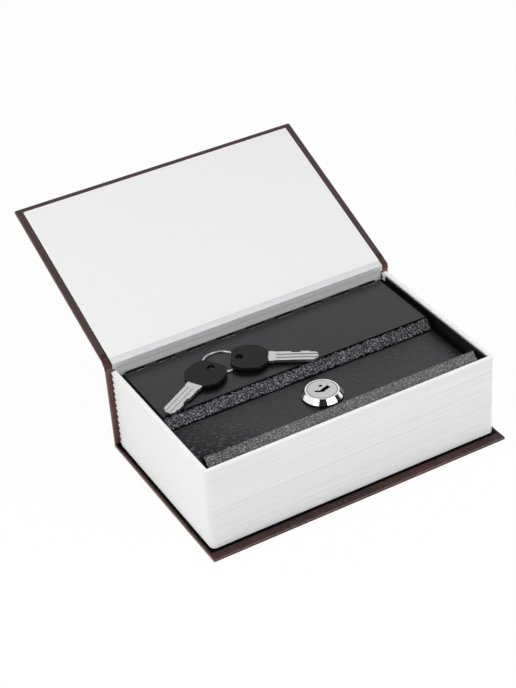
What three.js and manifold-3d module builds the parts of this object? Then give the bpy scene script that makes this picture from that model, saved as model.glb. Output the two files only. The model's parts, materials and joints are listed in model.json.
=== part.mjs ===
// Book diversion safe: a lockable steel tray inside a hollow block of dummy pages, in a hardback case.
// Millimetres. X runs along the book, +Y from the fore-edge to the spine, +Z up from the table.
// The origin lies on the underside of the back cover, below the middle of the block of pages.

import * as THREE from "three";
import { mergeVertices } from "three/addons/utils/BufferGeometryUtils.js";
import Module from "manifold-3d";

const wasm = await Module();
wasm.setup();

// Block of dummy pages
const blockLength = 174.5;
const blockDepth = 106.5;
const blockHeight = 50.2;
const pageWall = 2.4;
const blockFloor = 1.0;
const ridgeCount = 13;
const ridgeDepth = 0.3;
const toothDepth = 1.6;
const blockCorner = 3;
const footStep = 1.0;
const footHeight = 1.0;

// Hardback case: leatherette, board, turned-in leatherette and paper
const endSquare = 2.75;
const foreEdgeSquare = 6.7;
const clothThickness = 0.3;
const coreThickness = 0.9;
const paperThickness = 0.2;
const glueGap = 0.1;
const turnInWidth = 12;
const paperMargin = 3;
const paperEndMargin = 4.2;
const rimClearance = 0.2;
const openAngle = 157.06;
const jointSetback = 2.5;
const jointEndGap = 0.3;
const spineTopGap = 0.2;
const liningBend = 1.4;

// Steel tray
const trayClearance = 0.2;
const traySheet = 0.8;
const trayRimDrop = 1.1;
const sideWallStop = 5.65;
const rearWallGap = 0.45;
const rivetEndInset = 21.85;
const rivetSideInset = 16;
const rivetShank = 1.6;
const rivetHead = 3.6;
const rivetHeadHeight = 1.0;
const rivetClearance = 0.3;

// Hinge of the steel lid
const knuckleCount = 9;
const knuckleWidth = 10.5;
const hingeEndInset = 4.15;
const knuckleGap = 0.4;
const pinRadius = 0.75;
const pinClearance = 0.05;

// Steel lid
const lidSheet = 0.8;
const lidEndGap = 0.45;
const rearZoneDrop = 3.5;
const valleyDrop = 8.6;
const stepTopY = 2.0;
const stepSlope = 50;
const lipFrontGap = 0.4;
const lipAngle = 43;
const lipTopDrop = 0.6;
const lidBend = 1.4;
const lipBend = 0.6;
const lipCorner = 3;
const cornerNotch = 2.8;

// Strike that the cam catches
const strikeLength = 60;
const strikeSheet = 1.2;
const strikeReach = 7;
const strikeBend = 1.2;
const lidRestGap = 0.3;
const camPassGap = 0.4;

// Cam lock
const lockY = -20.6;
const bezelRadius = 11.25;
const bezelTopRadius = 9.1;
const bezelHeight = 4.0;
const bezelEdge = 1.0;
const barrelRadius = 9.3;
const barrelFlat = 8.75;
const barrelDepth = 8.0;
const barrelClearance = 0.3;
const plugRadius = 8.1;
const plugClearance = 0.15;
const plugRecess = 0.2;
const plugShoulder = 0.4;
const washerRadius = 12.5;
const washerThickness = 0.8;
const nutAcrossFlats = 23;
const nutThickness = 3.0;
const tailSide = 6;
const camThickness = 1.2;
const camLength = 27;
const camHubRadius = 7;
const camTipHalfWidth = 4.5;
const camClearance = 0.3;
const camScrewShank = 1.75;
const camScrewHead = 4.2;
const camScrewHeadHeight = 1.5;
const camScrewDepth = 1.5;
const keywayArmWidth = 1.4;
const keywayBladeWidth = 2.4;
const keywayBend = 0.6;
const dimpleRadius = 0.95;
const dimpleX = 0.85;
const dimpleY = 3.1;
const dimpleDepth = 0.5;

// Wafers and their springs, inside the plug
const waferCount = 4;
const waferPitch = 2.3;
const waferTop = 2.6;
const waferThickness = 1.0;
const waferHalfLength = 7.0;
const waferHalfWidth = 3.45;
const waferWindow = 2.45;
const waferWindowLength = 10.4;
const waferOffset = -0.35;
const waferGap = 0.3;
const waferTravel = 0.5;
const lugX = 1.6;
const lugLength = 1.1;
const lugReach = 2.4;
const springRadius = 0.5;
const springWire = 0.13;
const springLength = 4.3;
const springTurns = 5;

// Keys and split ring, laid on the lid behind the lock
const ringFromEnd = 50.4;
const ringFromHinge = 21.7;
const ringRadius = 10;
const ringWire = 0.55;
const ringSeat = 0.05;
const keyAngles = [-30, -150];
const eyeInset = 4.5;
const eyeRadius = 2.2;
const headLength = 20;
const headHalfWidth = 11;
const headThickness = 2.0;
const bladeLength = 27;
const bladeHalfWidth = 4;
const bladeThickness = 1.8;
const bladeGroove = 0.35;
const tangLength = 7;
const tangHalfWidth = 2;
const tangThickness = 0.8;
const tangClearance = 0.3;
const keySeat = 0.3;

// Levels and faces worked out from the sizes above
const boardThickness = 2 * clothThickness + coreThickness + paperThickness + 3 * glueGap;
const caseHalf = blockLength / 2 + endSquare;
const blockFront = -blockDepth / 2;
const blockRear = blockDepth / 2;
const caseFront = blockFront - foreEdgeSquare;
const spineOuter = blockRear + boardThickness;
const rim = boardThickness + blockHeight;
const coverInner = rim + rimClearance;
const coverOuter = coverInner + boardThickness;
const spineTop = rim - spineTopGap;
const hingeY = spineOuter - clothThickness / 2;
const hingeZ = coverOuter - clothThickness / 2;
const openTurn = THREE.MathUtils.degToRad(openAngle);

const wallInnerX = blockLength / 2 - pageWall;
const wallInnerY = blockFront + pageWall;
const trayHalf = wallInnerX - trayClearance;
const trayFront = wallInnerY + trayClearance;
const trayRear = blockRear - rearWallGap;
const trayFloor = boardThickness + blockFloor;
const trayRim = rim - trayRimDrop;
const trayInnerX = trayHalf - traySheet;
const trayInnerFront = trayFront + traySheet;

const boreRadius = pinRadius + pinClearance;
const knuckleRadius = boreRadius + traySheet;
const rearZoneTop = rim - rearZoneDrop;
const pinY = trayRear - knuckleRadius;
const pinZ = rearZoneTop - knuckleRadius;

const lidHalf = trayInnerX - lidEndGap;
const hingeStart = -lidHalf + hingeEndInset;
const knucklePitch = (-2 * hingeStart - knuckleWidth) / (knuckleCount - 1);
const ringX = -lidHalf + ringFromEnd;
const ringY = pinY - ringFromHinge;
const valleyTop = rim - valleyDrop;
const valleyUnder = valleyTop - lidSheet;
const lipTop = rim - lipTopDrop;
const barrelBottom = valleyUnder - barrelDepth;
const camTop = barrelBottom - camClearance;
const camBottom = camTop - camThickness;
const bezelTop = valleyTop + bezelHeight;
const plugTop = bezelTop - plugRecess;

// A material of the given colour
function finish(color, roughness, metalness) {
  return new THREE.MeshStandardMaterial({ color, roughness, metalness });
}

const leatherette = finish("#432f2f", 0.55, 0);
const greyBoard = finish("#8d8779", 0.9, 0);
const whitePaper = finish("#ecebea", 0.8, 0);
const pagePlastic = finish("#e6e4e1", 0.6, 0);
const trayPaint = finish("#161617", 0.5, 0.2);
const lidPaint = finish("#47484a", 0.55, 0.2);
const zincSteel = finish("#a9adb1", 0.35, 1);
const chromePlate = finish("#d5d7da", 0.12, 1);
const plugNickel = finish("#b4b5b6", 0.3, 1);
const waferBrass = finish("#b79a55", 0.35, 1);
const keyNickel = finish("#bdbfc1", 0.25, 1);
const keyPlastic = finish("#18181a", 0.45, 0);

// The manifold solid of a closed three.js geometry, without its zero-area triangles
function solid(geometry) {
  const bare = geometry.clone();
  bare.deleteAttribute("normal");
  bare.deleteAttribute("uv");
  const merged = mergeVertices(bare, 1e-4);
  const index = merged.index.array;
  const kept = [];
  for (let i = 0; i < index.length; i += 3) {
    const [a, b, c] = [index[i], index[i + 1], index[i + 2]];
    if (a !== b && b !== c && c !== a) kept.push(a, b, c);
  }
  return new wasm.Manifold(
    new wasm.Mesh({
      numProp: 3,
      vertProperties: new Float32Array(merged.attributes.position.array),
      triVerts: new Uint32Array(kept),
    }),
  );
}

// The three.js geometry of a manifold solid
function geometryOf(shape) {
  const mesh = shape.getMesh();
  const geometry = new THREE.BufferGeometry();
  geometry.setAttribute("position", new THREE.BufferAttribute(mesh.vertProperties, 3));
  geometry.setIndex(new THREE.BufferAttribute(mesh.triVerts, 1));
  geometry.computeVertexNormals();
  return geometry;
}

function joined(shapes) {
  return shapes.reduce((whole, shape) => whole.add(shape));
}

// A box from its lowest corner to its highest
function box(low, high) {
  const size = high.map((value, i) => value - low[i]);
  const geometry = new THREE.BoxGeometry(...size);
  geometry.translate(...low.map((value, i) => value + size[i] / 2));
  return solid(geometry);
}

function extruded(points, depth) {
  const shape = new THREE.Shape(points.map(([a, b]) => new THREE.Vector2(a, b)));
  return new THREE.ExtrudeGeometry(shape, { depth, bevelEnabled: false });
}

// A (y, z) outline carried along X
function alongX(points, from, to) {
  const geometry = extruded(points, to - from);
  const [x, y, z] = [0, 1, 2].map((i) => new THREE.Vector3().setComponent(i, 1));
  geometry.applyMatrix4(new THREE.Matrix4().makeBasis(y, z, x));
  geometry.translate(from, 0, 0);
  return solid(geometry);
}

// An (x, z) outline carried along Y
function alongY(points, from, to) {
  const geometry = extruded(points, to - from);
  geometry.rotateX(Math.PI / 2);
  geometry.translate(0, to, 0);
  return solid(geometry);
}

// An (x, y) outline carried along Z
function alongZ(points, from, to) {
  const geometry = extruded(points, to - from);
  geometry.translate(0, 0, from);
  return solid(geometry);
}

function circle(radius, segments, x = 0, y = 0) {
  return Array.from({ length: segments }, (_, i) => {
    const turn = (2 * Math.PI * i) / segments;
    return [x + radius * Math.cos(turn), y + radius * Math.sin(turn)];
  });
}

// A (radius, z) profile turned about Z; it starts and ends on the axis, or closes on itself
function turned(profile, segments) {
  const points = profile.map(([radius, z]) => new THREE.Vector2(radius, z));
  const geometry = new THREE.LatheGeometry(points, segments);
  geometry.rotateX(Math.PI / 2);
  return solid(geometry);
}

// Points and left-hand normals along a path whose corners are rounded, all to one radius or each to its own
function roundedPath(points, radii, steps = 6) {
  const vectors = points.map(([a, b]) => new THREE.Vector2(a, b));
  const last = vectors.length - 1;
  const heading = (i) => vectors[i + 1].clone().sub(vectors[i]).normalize();
  const left = (d) => new THREE.Vector2(-d.y, d.x);
  const samples = [{ point: vectors[0], normal: left(heading(0)) }];
  for (let i = 1; i < last; i += 1) {
    const before = heading(i - 1);
    const after = heading(i);
    const turn = Math.atan2(before.cross(after), before.dot(after));
    const side = Math.sign(turn);
    const radius = Array.isArray(radii) ? radii[i - 1] : radii;
    const start = vectors[i].clone().addScaledVector(before, -radius * Math.tan(Math.abs(turn) / 2));
    const centre = start.clone().addScaledVector(left(before), side * radius);
    for (let step = 0; step <= steps; step += 1) {
      const normal = left(before).rotateAround(new THREE.Vector2(), (turn * step) / steps);
      samples.push({ point: centre.clone().addScaledVector(normal, -side * radius), normal });
    }
  }
  samples.push({ point: vectors[last], normal: left(heading(last - 1)) });
  return samples;
}

// The outline of a sheet bent along a path through the middle of its thickness
function bentSheet(points, radii, thickness) {
  const samples = roundedPath(points, radii);
  const offset = ({ point, normal }, side) => {
    const moved = point.clone().addScaledVector(normal, (side * thickness) / 2);
    return [moved.x, moved.y];
  };
  const right = samples.map((sample) => offset(sample, -1));
  const left = samples.map((sample) => offset(sample, 1));
  return [...right, ...left.reverse()];
}

function named(name, shape, material) {
  const mesh = new THREE.Mesh(geometryOf(shape), material);
  mesh.name = name;
  return mesh;
}

// Sawtooth levels of the pages above their set-back foot: grooves of the given depth between crests
function ridgeEdge(depth) {
  const foot = boardThickness + footHeight;
  const pitch = (rim - foot) / ridgeCount;
  const edge = [];
  for (let i = 0; i < ridgeCount; i += 1) {
    edge.push([i === 0 ? 0 : depth, foot + i * pitch]);
    edge.push([0, foot + (i + 0.5) * pitch]);
  }
  edge.push([0, rim]);
  return edge;
}

// Levels of an outer face: the foot, then the ridges
function pageEdge() {
  const foot = boardThickness + footHeight;
  return [[footStep, boardThickness], [footStep, foot], ...ridgeEdge(ridgeDepth)];
}

// The block's plan, with its two fore-edge corners rounded
function roundedBlock() {
  const half = blockLength / 2;
  const arc = (side) =>
    Array.from({ length: 9 }, (_, i) => {
      const turn = (Math.PI / 16) * i;
      return [
        side * (half - blockCorner + blockCorner * Math.sin(turn)),
        blockFront + blockCorner - blockCorner * Math.cos(turn),
      ];
    });
  const outline = [...arc(1), [half, blockRear], [-half, blockRear], ...arc(-1).reverse()];
  return alongZ(outline, boardThickness, rim);
}

// Hollow block of dummy pages: ridged walls on three sides, toothed where they end at the open spine side
function pageBlock() {
  const front = pageEdge().map(([depth, z]) => [blockFront + depth, z]);
  const teeth = ridgeEdge(toothDepth).map(([depth, z]) => [blockRear - depth, z]);
  const foreEdge = [...front.reverse(), [blockRear, boardThickness], ...teeth];
  const right = pageEdge().map(([depth, z]) => [blockLength / 2 - depth, z]);
  const leftEnd = right.map(([x, z]) => [-x, z]).reverse();
  const body = alongX(foreEdge, -blockLength / 2, blockLength / 2).intersect(
    alongY([...right, ...leftEnd], blockFront, blockRear),
  );
  const hollow = box([-wallInnerX, wallInnerY, trayFloor], [wallInnerX, blockRear + 1, rim + 1]);
  return body.intersect(roundedBlock()).subtract(hollow).subtract(rivetHoles());
}

// The four rivet places in the floor of the tray
function rivetPlaces() {
  const x = trayInnerX - rivetEndInset;
  const rows = [trayInnerFront + rivetSideInset, trayRear - traySheet - rivetSideInset];
  return rows.flatMap((y) => [
    [-x, y],
    [x, y],
  ]);
}

function rivetHoles() {
  return joined(
    rivetPlaces().map(([x, y]) => alongZ(circle(rivetShank + rivetClearance, 16, x, y), -1, rim / 2)),
  );
}

// Domed rivet: its head lies on the tray's floor and its shank ends in the back board
function rivet() {
  const shankLength = trayFloor + traySheet - clothThickness - 2 * glueGap;
  return turned(
    [
      [0, -shankLength],
      [rivetShank, -shankLength],
      [rivetShank, 0],
      [rivetHead, 0],
      [rivetHead * 0.8, rivetHeadHeight * 0.65],
      [0, rivetHeadHeight],
    ],
    16,
  );
}

// Leatherette over the back and the spine, turned in at every free edge
function caseCloth() {
  const turnInTop = boardThickness - paperThickness - glueGap;
  const turnInUnder = turnInTop - clothThickness;
  const spineTurnIn = spineOuter - turnInTop;
  const windowHalf = caseHalf - turnInWidth;
  const spineSheet = spineOuter - clothThickness;
  const edge = clothThickness + glueGap;
  const back = box([-caseHalf, caseFront, 0], [caseHalf, spineOuter, turnInTop]);
  const spine = box([-caseHalf, spineTurnIn, 0], [caseHalf, spineOuter, spineTop]);
  const backCore = box(
    [-caseHalf + edge, caseFront + edge, clothThickness],
    [caseHalf - edge, spineSheet, turnInUnder],
  );
  const spineCore = box(
    [-caseHalf + edge, spineTurnIn + clothThickness, clothThickness],
    [caseHalf - edge, spineSheet, spineTop + 1],
  );
  const backWindow = box(
    [-windowHalf, caseFront + turnInWidth, turnInUnder - 0.1],
    [windowHalf, spineTurnIn + clothThickness + 0.1, turnInTop + 1],
  );
  const spineWindow = box(
    [-windowHalf, spineTurnIn - 1, turnInUnder],
    [windowHalf, spineTurnIn + clothThickness + 0.1, spineTop + 1],
  );
  return back.add(spine).subtract(backCore).subtract(spineCore).subtract(backWindow).subtract(spineWindow);
}

// Grey boards of the back and the spine
function backBoard() {
  const edge = clothThickness + 2 * glueGap;
  const low = clothThickness + glueGap;
  const spineFace = spineOuter - clothThickness - glueGap;
  const board = box([-caseHalf + edge, caseFront + edge, low], [caseHalf - edge, spineFace, low + coreThickness]);
  return board.subtract(rivetHoles());
}

function spineBoard() {
  const edge = clothThickness + 2 * glueGap;
  const outer = spineOuter - clothThickness - glueGap;
  const foot = clothThickness + 2 * glueGap + coreThickness;
  return box([-caseHalf + edge, outer - coreThickness, foot], [caseHalf - edge, outer, spineTop - glueGap]);
}

// Paper that glues the block to the back board
function backEndpaper() {
  const halfLength = blockLength / 2 - paperMargin;
  const low = boardThickness - paperThickness;
  const sheet = box(
    [-halfLength, blockFront + paperMargin, low],
    [halfLength, blockRear, boardThickness],
  );
  return sheet.subtract(rivetHoles());
}

// Paper on the inside of the spine, between the block's walls and up to the joint
function spineLining() {
  return box(
    [-trayHalf, blockRear, boardThickness],
    [trayHalf, blockRear + paperThickness, spineTop - jointEndGap],
  );
}

// A place near the cover's hinge line, measured along the open cover and out of its inner face
function openPlace(along, out) {
  const rise = Math.PI - openTurn;
  return [
    hingeY + along * Math.cos(rise) - out * Math.sin(rise),
    hingeZ + along * Math.sin(rise) + out * Math.cos(rise),
  ];
}

// Leatherette that folds outside the joint, drawn with the cover open
function jointCloth() {
  const path = [
    [hingeY, spineTop + jointEndGap],
    [hingeY, hingeZ],
    openPlace(jointSetback - jointEndGap, 0),
  ];
  return alongX(bentSheet(path, clothThickness, clothThickness), -caseHalf, caseHalf);
}

// Paper that folds over inside the joint, drawn with the cover open
function jointLining() {
  const middle = blockRear + paperThickness / 2;
  const out = hingeZ - coverInner - paperThickness / 2;
  const rise = Math.PI - openTurn;
  const meet = (middle - hingeY + out * Math.sin(rise)) / Math.cos(rise);
  const path = [[middle, spineTop], openPlace(meet, out), openPlace(jointSetback - jointEndGap, out)];
  const half = caseHalf - paperEndMargin;
  return alongX(bentSheet(path, liningBend, paperThickness), -half, half);
}

// The front cover's three layers, drawn shut and moved so that the hinge line is their origin
function frontCloth() {
  const inner = coverInner + paperThickness + glueGap - hingeZ;
  const outer = coverOuter - hingeZ;
  const front = caseFront - hingeY;
  const edge = clothThickness + glueGap;
  const windowHalf = caseHalf - turnInWidth;
  const shell = box([-caseHalf, front, inner], [caseHalf, -jointSetback, outer]);
  const core = box(
    [-caseHalf + edge, front + edge, inner + clothThickness],
    [caseHalf - edge, 1, outer - clothThickness],
  );
  const window = box([-windowHalf, front + turnInWidth, inner - 1], [windowHalf, 1, inner + clothThickness + 0.1]);
  return shell.subtract(core).subtract(window);
}

function frontBoard() {
  const edge = clothThickness + 2 * glueGap;
  const outer = coverOuter - hingeZ - clothThickness - glueGap;
  return box(
    [-caseHalf + edge, caseFront - hingeY + edge, outer - coreThickness],
    [caseHalf - edge, -jointSetback - glueGap, outer],
  );
}

function frontEndpaper() {
  const half = caseHalf - paperEndMargin;
  const inner = coverInner - hingeZ;
  return box(
    [-half, caseFront - hingeY + paperMargin, inner],
    [half, -jointSetback - glueGap, inner + paperThickness],
  );
}

// Start and end of each of the tray's knuckles along X
function trayKnuckles() {
  return Array.from({ length: knuckleCount }, (_, i) => {
    const start = hingeStart + i * knucklePitch;
    return [start, start + knuckleWidth];
  });
}

// Start and end of each of the lid's knuckles, between the tray's
function lidKnuckles() {
  const width = knucklePitch - knuckleWidth;
  return trayKnuckles()
    .slice(0, -1)
    .map(([, end]) => [end + knuckleGap, end + width - knuckleGap]);
}

function knuckle(from, to) {
  const ring = alongX(circle(knuckleRadius, 20, pinY, pinZ), from, to);
  return ring.subtract(alongX(circle(boreRadius, 16, pinY, pinZ), from - 1, to + 1));
}

// Folded steel tray, its rear wall rolled into hinge knuckles
function steelTray() {
  const outside = box([-trayHalf, trayFront, trayFloor], [trayHalf, trayRear, trayRim]);
  const inside = box(
    [-trayInnerX, trayInnerFront, trayFloor + traySheet],
    [trayInnerX, trayRear - traySheet, trayRim + 1],
  );
  const rearLow = pinZ - knuckleRadius - knuckleGap;
  const rearCut = box([-trayHalf - 1, blockRear - sideWallStop, rearLow], [trayHalf + 1, trayRear + 1, rim]);
  const knuckles = trayKnuckles().map(([from, to]) => {
    const wall = box([from, trayRear - traySheet, rearLow - 1], [to, trayRear, pinZ]);
    return wall.subtract(alongX(circle(boreRadius, 16, pinY, pinZ), from - 1, to + 1)).add(knuckle(from, to));
  });
  return joined([outside.subtract(inside).subtract(rearCut), ...knuckles]).subtract(rivetHoles());
}

function hingePin() {
  return alongX(circle(pinRadius, 16, pinY, pinZ), hingeStart, -hingeStart);
}

// Steel angle on the front wall: the lid rests on its upright edge and the cam catches under its foot
function strikeAngle() {
  const foot = camTop + camPassGap + strikeSheet / 2;
  const upright = trayInnerFront + strikeSheet / 2;
  const path = [
    [trayInnerFront + strikeReach, foot],
    [upright, foot],
    [upright, valleyUnder - lidRestGap],
  ];
  return alongX(bentSheet(path, strikeBend, strikeSheet), -strikeLength / 2, strikeLength / 2);
}

// The lid's section, from the hinge over the step and the valley to the folded finger lip
function lidSection() {
  const slope = THREE.MathUtils.degToRad(stepSlope);
  const lean = THREE.MathUtils.degToRad(lipAngle);
  const half = lidSheet / 2;
  const rearMiddle = rearZoneTop - half;
  const valleyMiddle = valleyTop - half;
  const shift = half * Math.tan(slope / 2);
  const stepStart = stepTopY + shift;
  const stepEnd = stepStart - (rearMiddle - valleyMiddle) / Math.tan(slope);
  const centreY = trayInnerFront + lipFrontGap + lipBend + half;
  const foldCorner = centreY - lipBend * Math.tan((Math.PI - lean) / 2);
  const lipRun = (lipTop - half * Math.cos(lean) - valleyMiddle) / Math.sin(lean);
  return {
    path: [
      [pinY, rearMiddle],
      [stepStart, rearMiddle],
      [stepEnd, valleyMiddle],
      [foldCorner, valleyMiddle],
      [foldCorner + lipRun * Math.cos(lean), valleyMiddle + lipRun * Math.sin(lean)],
    ],
    lipEdgeY: foldCorner + lipRun * Math.cos(lean) + half,
  };
}

// Folded steel lid with its hinge knuckles, rounded lip corners and the lock's hole
function lidPlate() {
  const { path, lipEdgeY } = lidSection();
  const plate = alongX(bentSheet(path, [lidBend, lidBend, lipBend], lidSheet), -lidHalf, lidHalf);
  const cutTop = rearZoneTop + 1;
  const cutFoot = rearZoneTop - lidSheet - 1;
  const notches = trayKnuckles().map(([from, to]) =>
    box(
      [from - knuckleGap, pinY - knuckleRadius - knuckleGap, cutFoot],
      [to + knuckleGap, trayRear + 1, cutTop],
    ),
  );
  const corners = [-1, 1].map((side) => {
    const inner = side * (-hingeStart + knuckleGap);
    const outer = side * (lidHalf + 1);
    return box(
      [Math.min(inner, outer), trayRear - cornerNotch, cutFoot],
      [Math.max(inner, outer), trayRear + 1, cutTop],
    );
  });
  const lipCorners = [-1, 1].map((side) => {
    const x = side * (lidHalf - lipCorner);
    const y = lipEdgeY - lipCorner;
    const square = box(
      [Math.min(x, side * (lidHalf + 1)), y, rearZoneTop - lidSheet],
      [Math.max(x, side * (lidHalf + 1)), lipEdgeY + 1, rim],
    );
    return square.subtract(alongZ(circle(lipCorner, 32, x, y), rearZoneTop - 2, rim + 1));
  });
  const knuckles = lidKnuckles().map(([from, to]) => knuckle(from, to));
  const bores = alongX(circle(boreRadius, 16, pinY, pinZ), -lidHalf - 1, lidHalf + 1);
  const cuts = joined([...notches, ...corners, ...lipCorners, barrelHole(valleyUnder - 1, valleyTop + 1)]);
  return joined([plate.subtract(cuts).subtract(bores), ...knuckles]);
}

// A round with two flats, as the barrel has, about the lock's axis
function flattened(radius, flat, from, to) {
  const round = alongZ(circle(radius, 48), from, to);
  return round.intersect(box([-flat, -radius, from - 1], [flat, radius, to + 1]));
}

function barrelHole(from, to) {
  const hole = flattened(barrelRadius + barrelClearance, barrelFlat + barrelClearance, from, to);
  return hole.translate([0, lockY, 0]);
}

// Lock housing: a coned bezel over a flatted barrel, grooved inside for the wafers at every quarter turn
function lockHousing() {
  const bezel = turned(
    [
      [0, valleyTop],
      [bezelRadius, valleyTop],
      [bezelRadius, valleyTop + bezelEdge],
      [bezelTopRadius + 0.25, bezelTop - 0.35],
      [bezelTopRadius - 0.15, bezelTop],
      [0, bezelTop],
    ],
    48,
  );
  const barrel = flattened(barrelRadius, barrelFlat, barrelBottom, valleyTop + 1);
  const bore = alongZ(circle(plugRadius + plugClearance, 48), barrelBottom - 1, bezelTop + 1);
  const reach = waferHalfLength + waferTravel + waferGap;
  const width = waferHalfWidth + Math.abs(waferOffset) + waferGap;
  const grooveTop = plugTop - waferTop + waferThickness / 2 + waferGap;
  const grooveFoot = waferLevel(waferCount - 1) - waferThickness / 2 - waferGap;
  const grooves = box([-reach, -width, grooveFoot], [reach, width, grooveTop]).add(
    box([-width, -reach, grooveFoot], [width, reach, grooveTop]),
  );
  return bezel.add(barrel).subtract(bore).subtract(grooves);
}

function lockWasher() {
  const top = valleyUnder;
  const disc = alongZ(circle(washerRadius, 32), top - washerThickness, top);
  return disc.subtract(
    flattened(barrelRadius + barrelClearance, barrelFlat + barrelClearance, top - washerThickness - 1, top + 1),
  );
}

function lockNut() {
  const top = valleyUnder - washerThickness;
  const corner = nutAcrossFlats / Math.sqrt(3);
  const hexagon = alongZ(circle(corner, 6), top - nutThickness, top);
  return hexagon.subtract(alongZ(circle(barrelRadius + barrelClearance, 32), top - nutThickness - 1, top + 1));
}

// Middle height of a wafer, counted down from the face of the plug
function waferLevel(i) {
  return plugTop - waferTop - i * waferPitch;
}

// Outline of the keyway: a thin arm falling to a bend and a wide arm rising from it
function keywayOutline() {
  const bend = [-1.3, -1.5];
  const armEnd = [-4.2, 0.5];
  const bladeEnd = [4.4, 0.5];
  const arm = bentSheet([armEnd, bend, [0, -1.0]], keywayBend + keywayArmWidth, keywayArmWidth);
  const blade = bentSheet([bend, [1.5, -0.45], bladeEnd], keywayBend + keywayBladeWidth, keywayBladeWidth);
  return [arm, blade];
}

// Plug with its keyway, wafer slots, spring pockets, index dimple, square tail and screw hole
function lockPlug() {
  const tailFoot = camBottom + camClearance;
  const body = alongZ(circle(plugRadius, 48), barrelBottom + plugShoulder, plugTop);
  const neck = alongZ(circle(tailSide * 0.75, 32), barrelBottom, barrelBottom + plugShoulder + 0.1);
  const tail = box([-tailSide / 2, -tailSide / 2, tailFoot], [tailSide / 2, tailSide / 2, barrelBottom + 0.1]);
  const keywayFoot = waferLevel(waferCount - 1) - waferThickness;
  const keyway = joined(keywayOutline().map((outline) => alongZ(outline, keywayFoot, plugTop + 1)));
  const slots = Array.from({ length: waferCount }, (_, i) => {
    const low = waferLevel(i) - waferThickness / 2 - waferGap;
    const high = waferLevel(i) + waferThickness / 2 + waferGap;
    const width = waferHalfWidth + waferGap;
    const slot = box([-plugRadius - 1, waferOffset - width, low], [plugRadius + 1, waferOffset + width, high]);
    const pocketEnd = lugX + lugLength + waferTravel + waferGap;
    const pocketStart = lugX - springLength - 2 * waferGap;
    const outer = waferOffset + waferHalfWidth + lugReach + waferGap;
    return slot.add(box([pocketStart, 0, low], [pocketEnd, outer, high]));
  });
  const dimple = alongZ(circle(dimpleRadius, 16, dimpleX, dimpleY), plugTop - dimpleDepth, plugTop + 1);
  const screwHole = alongZ(circle(camScrewShank + camClearance, 20), tailFoot - 1, camTop + camScrewDepth + 0.3);
  return joined([body, neck, tail]).subtract(joined([keyway, ...slots, dimple, screwHole]));
}

// Wafer: a plate with a window for the key and a lug for its spring, about its own middle
function wafer() {
  const half = waferThickness / 2;
  const low = waferOffset - waferHalfWidth;
  const high = waferOffset + waferHalfWidth;
  const plate = box([-waferHalfLength, low, -half], [waferHalfLength, high, half]);
  const windowHalf = waferWindowLength / 2;
  const window = box([-windowHalf, waferOffset - waferWindow, -1], [windowHalf, waferOffset + waferWindow, 1]);
  const lug = box([lugX, high - 0.1, -half], [lugX + lugLength, high + lugReach, half]);
  return plate.subtract(window).add(lug);
}

// Coil spring along X that pushes a wafer's lug
class CoilPath extends THREE.Curve {
  getPoint(t, target = new THREE.Vector3()) {
    const turn = 2 * Math.PI * springTurns * t;
    const middle = springRadius;
    return target.set(springLength * t, middle * Math.cos(turn), middle * Math.sin(turn));
  }
}

function waferSpring() {
  const wire = new THREE.Shape(circle(springWire, 5).map(([a, b]) => new THREE.Vector2(a, b)));
  const geometry = new THREE.ExtrudeGeometry(wire, {
    steps: springTurns * 8,
    extrudePath: new CoilPath(),
  });
  return solid(geometry);
}

// Cam on the plug's square tail, pointing along +X when unlocked
function cam() {
  const hub = alongZ(circle(camHubRadius, 32), camBottom, camTop);
  const arm = alongZ(
    [
      [0, -camHubRadius],
      [camLength - 3, -camTipHalfWidth],
      [camLength, -camTipHalfWidth + 3],
      [camLength, camTipHalfWidth - 3],
      [camLength - 3, camTipHalfWidth],
      [0, camHubRadius],
    ],
    camBottom,
    camTop,
  );
  const side = tailSide / 2 + camClearance;
  return hub.add(arm).subtract(box([-side, -side, camBottom - 1], [side, side, camTop + 1]));
}

function camScrew() {
  const seat = camBottom;
  return turned(
    [
      [0, seat - camScrewHeadHeight],
      [camScrewHead * 0.8, seat - camScrewHeadHeight],
      [camScrewHead, seat - camScrewHeadHeight / 2],
      [camScrewHead, seat],
      [camScrewShank, seat],
      [camScrewShank, camTop + camScrewDepth],
      [0, camTop + camScrewDepth],
    ],
    24,
  );
}

// Key parts lie along +X, from the free end of the head to the tip of the blade, about mid-thickness
function keyHead() {
  const wide = headHalfWidth;
  const side = [
    [0, wide * 0.5],
    [headLength * 0.07, wide * 0.74],
    [headLength * 0.25, wide * 0.93],
    [headLength * 0.5, wide],
    [headLength * 0.74, wide * 0.95],
    [headLength * 0.88, wide * 0.72],
    [headLength, wide * 0.5],
  ];
  const outline = [...side.map(([x, y]) => [x, -y]), ...side.reverse()];
  const half = headThickness / 2;
  const pocketHalf = tangThickness / 2 + tangClearance;
  const pocket = box(
    [headLength - tangLength - tangClearance, -tangHalfWidth - tangClearance, -pocketHalf],
    [headLength + 1, tangHalfWidth + tangClearance, pocketHalf],
  );
  const eye = alongZ(circle(eyeRadius, 24, eyeInset, 0), -half - 1, half + 1);
  return alongZ(outline, -half, half).subtract(eye).subtract(pocket);
}

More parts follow.
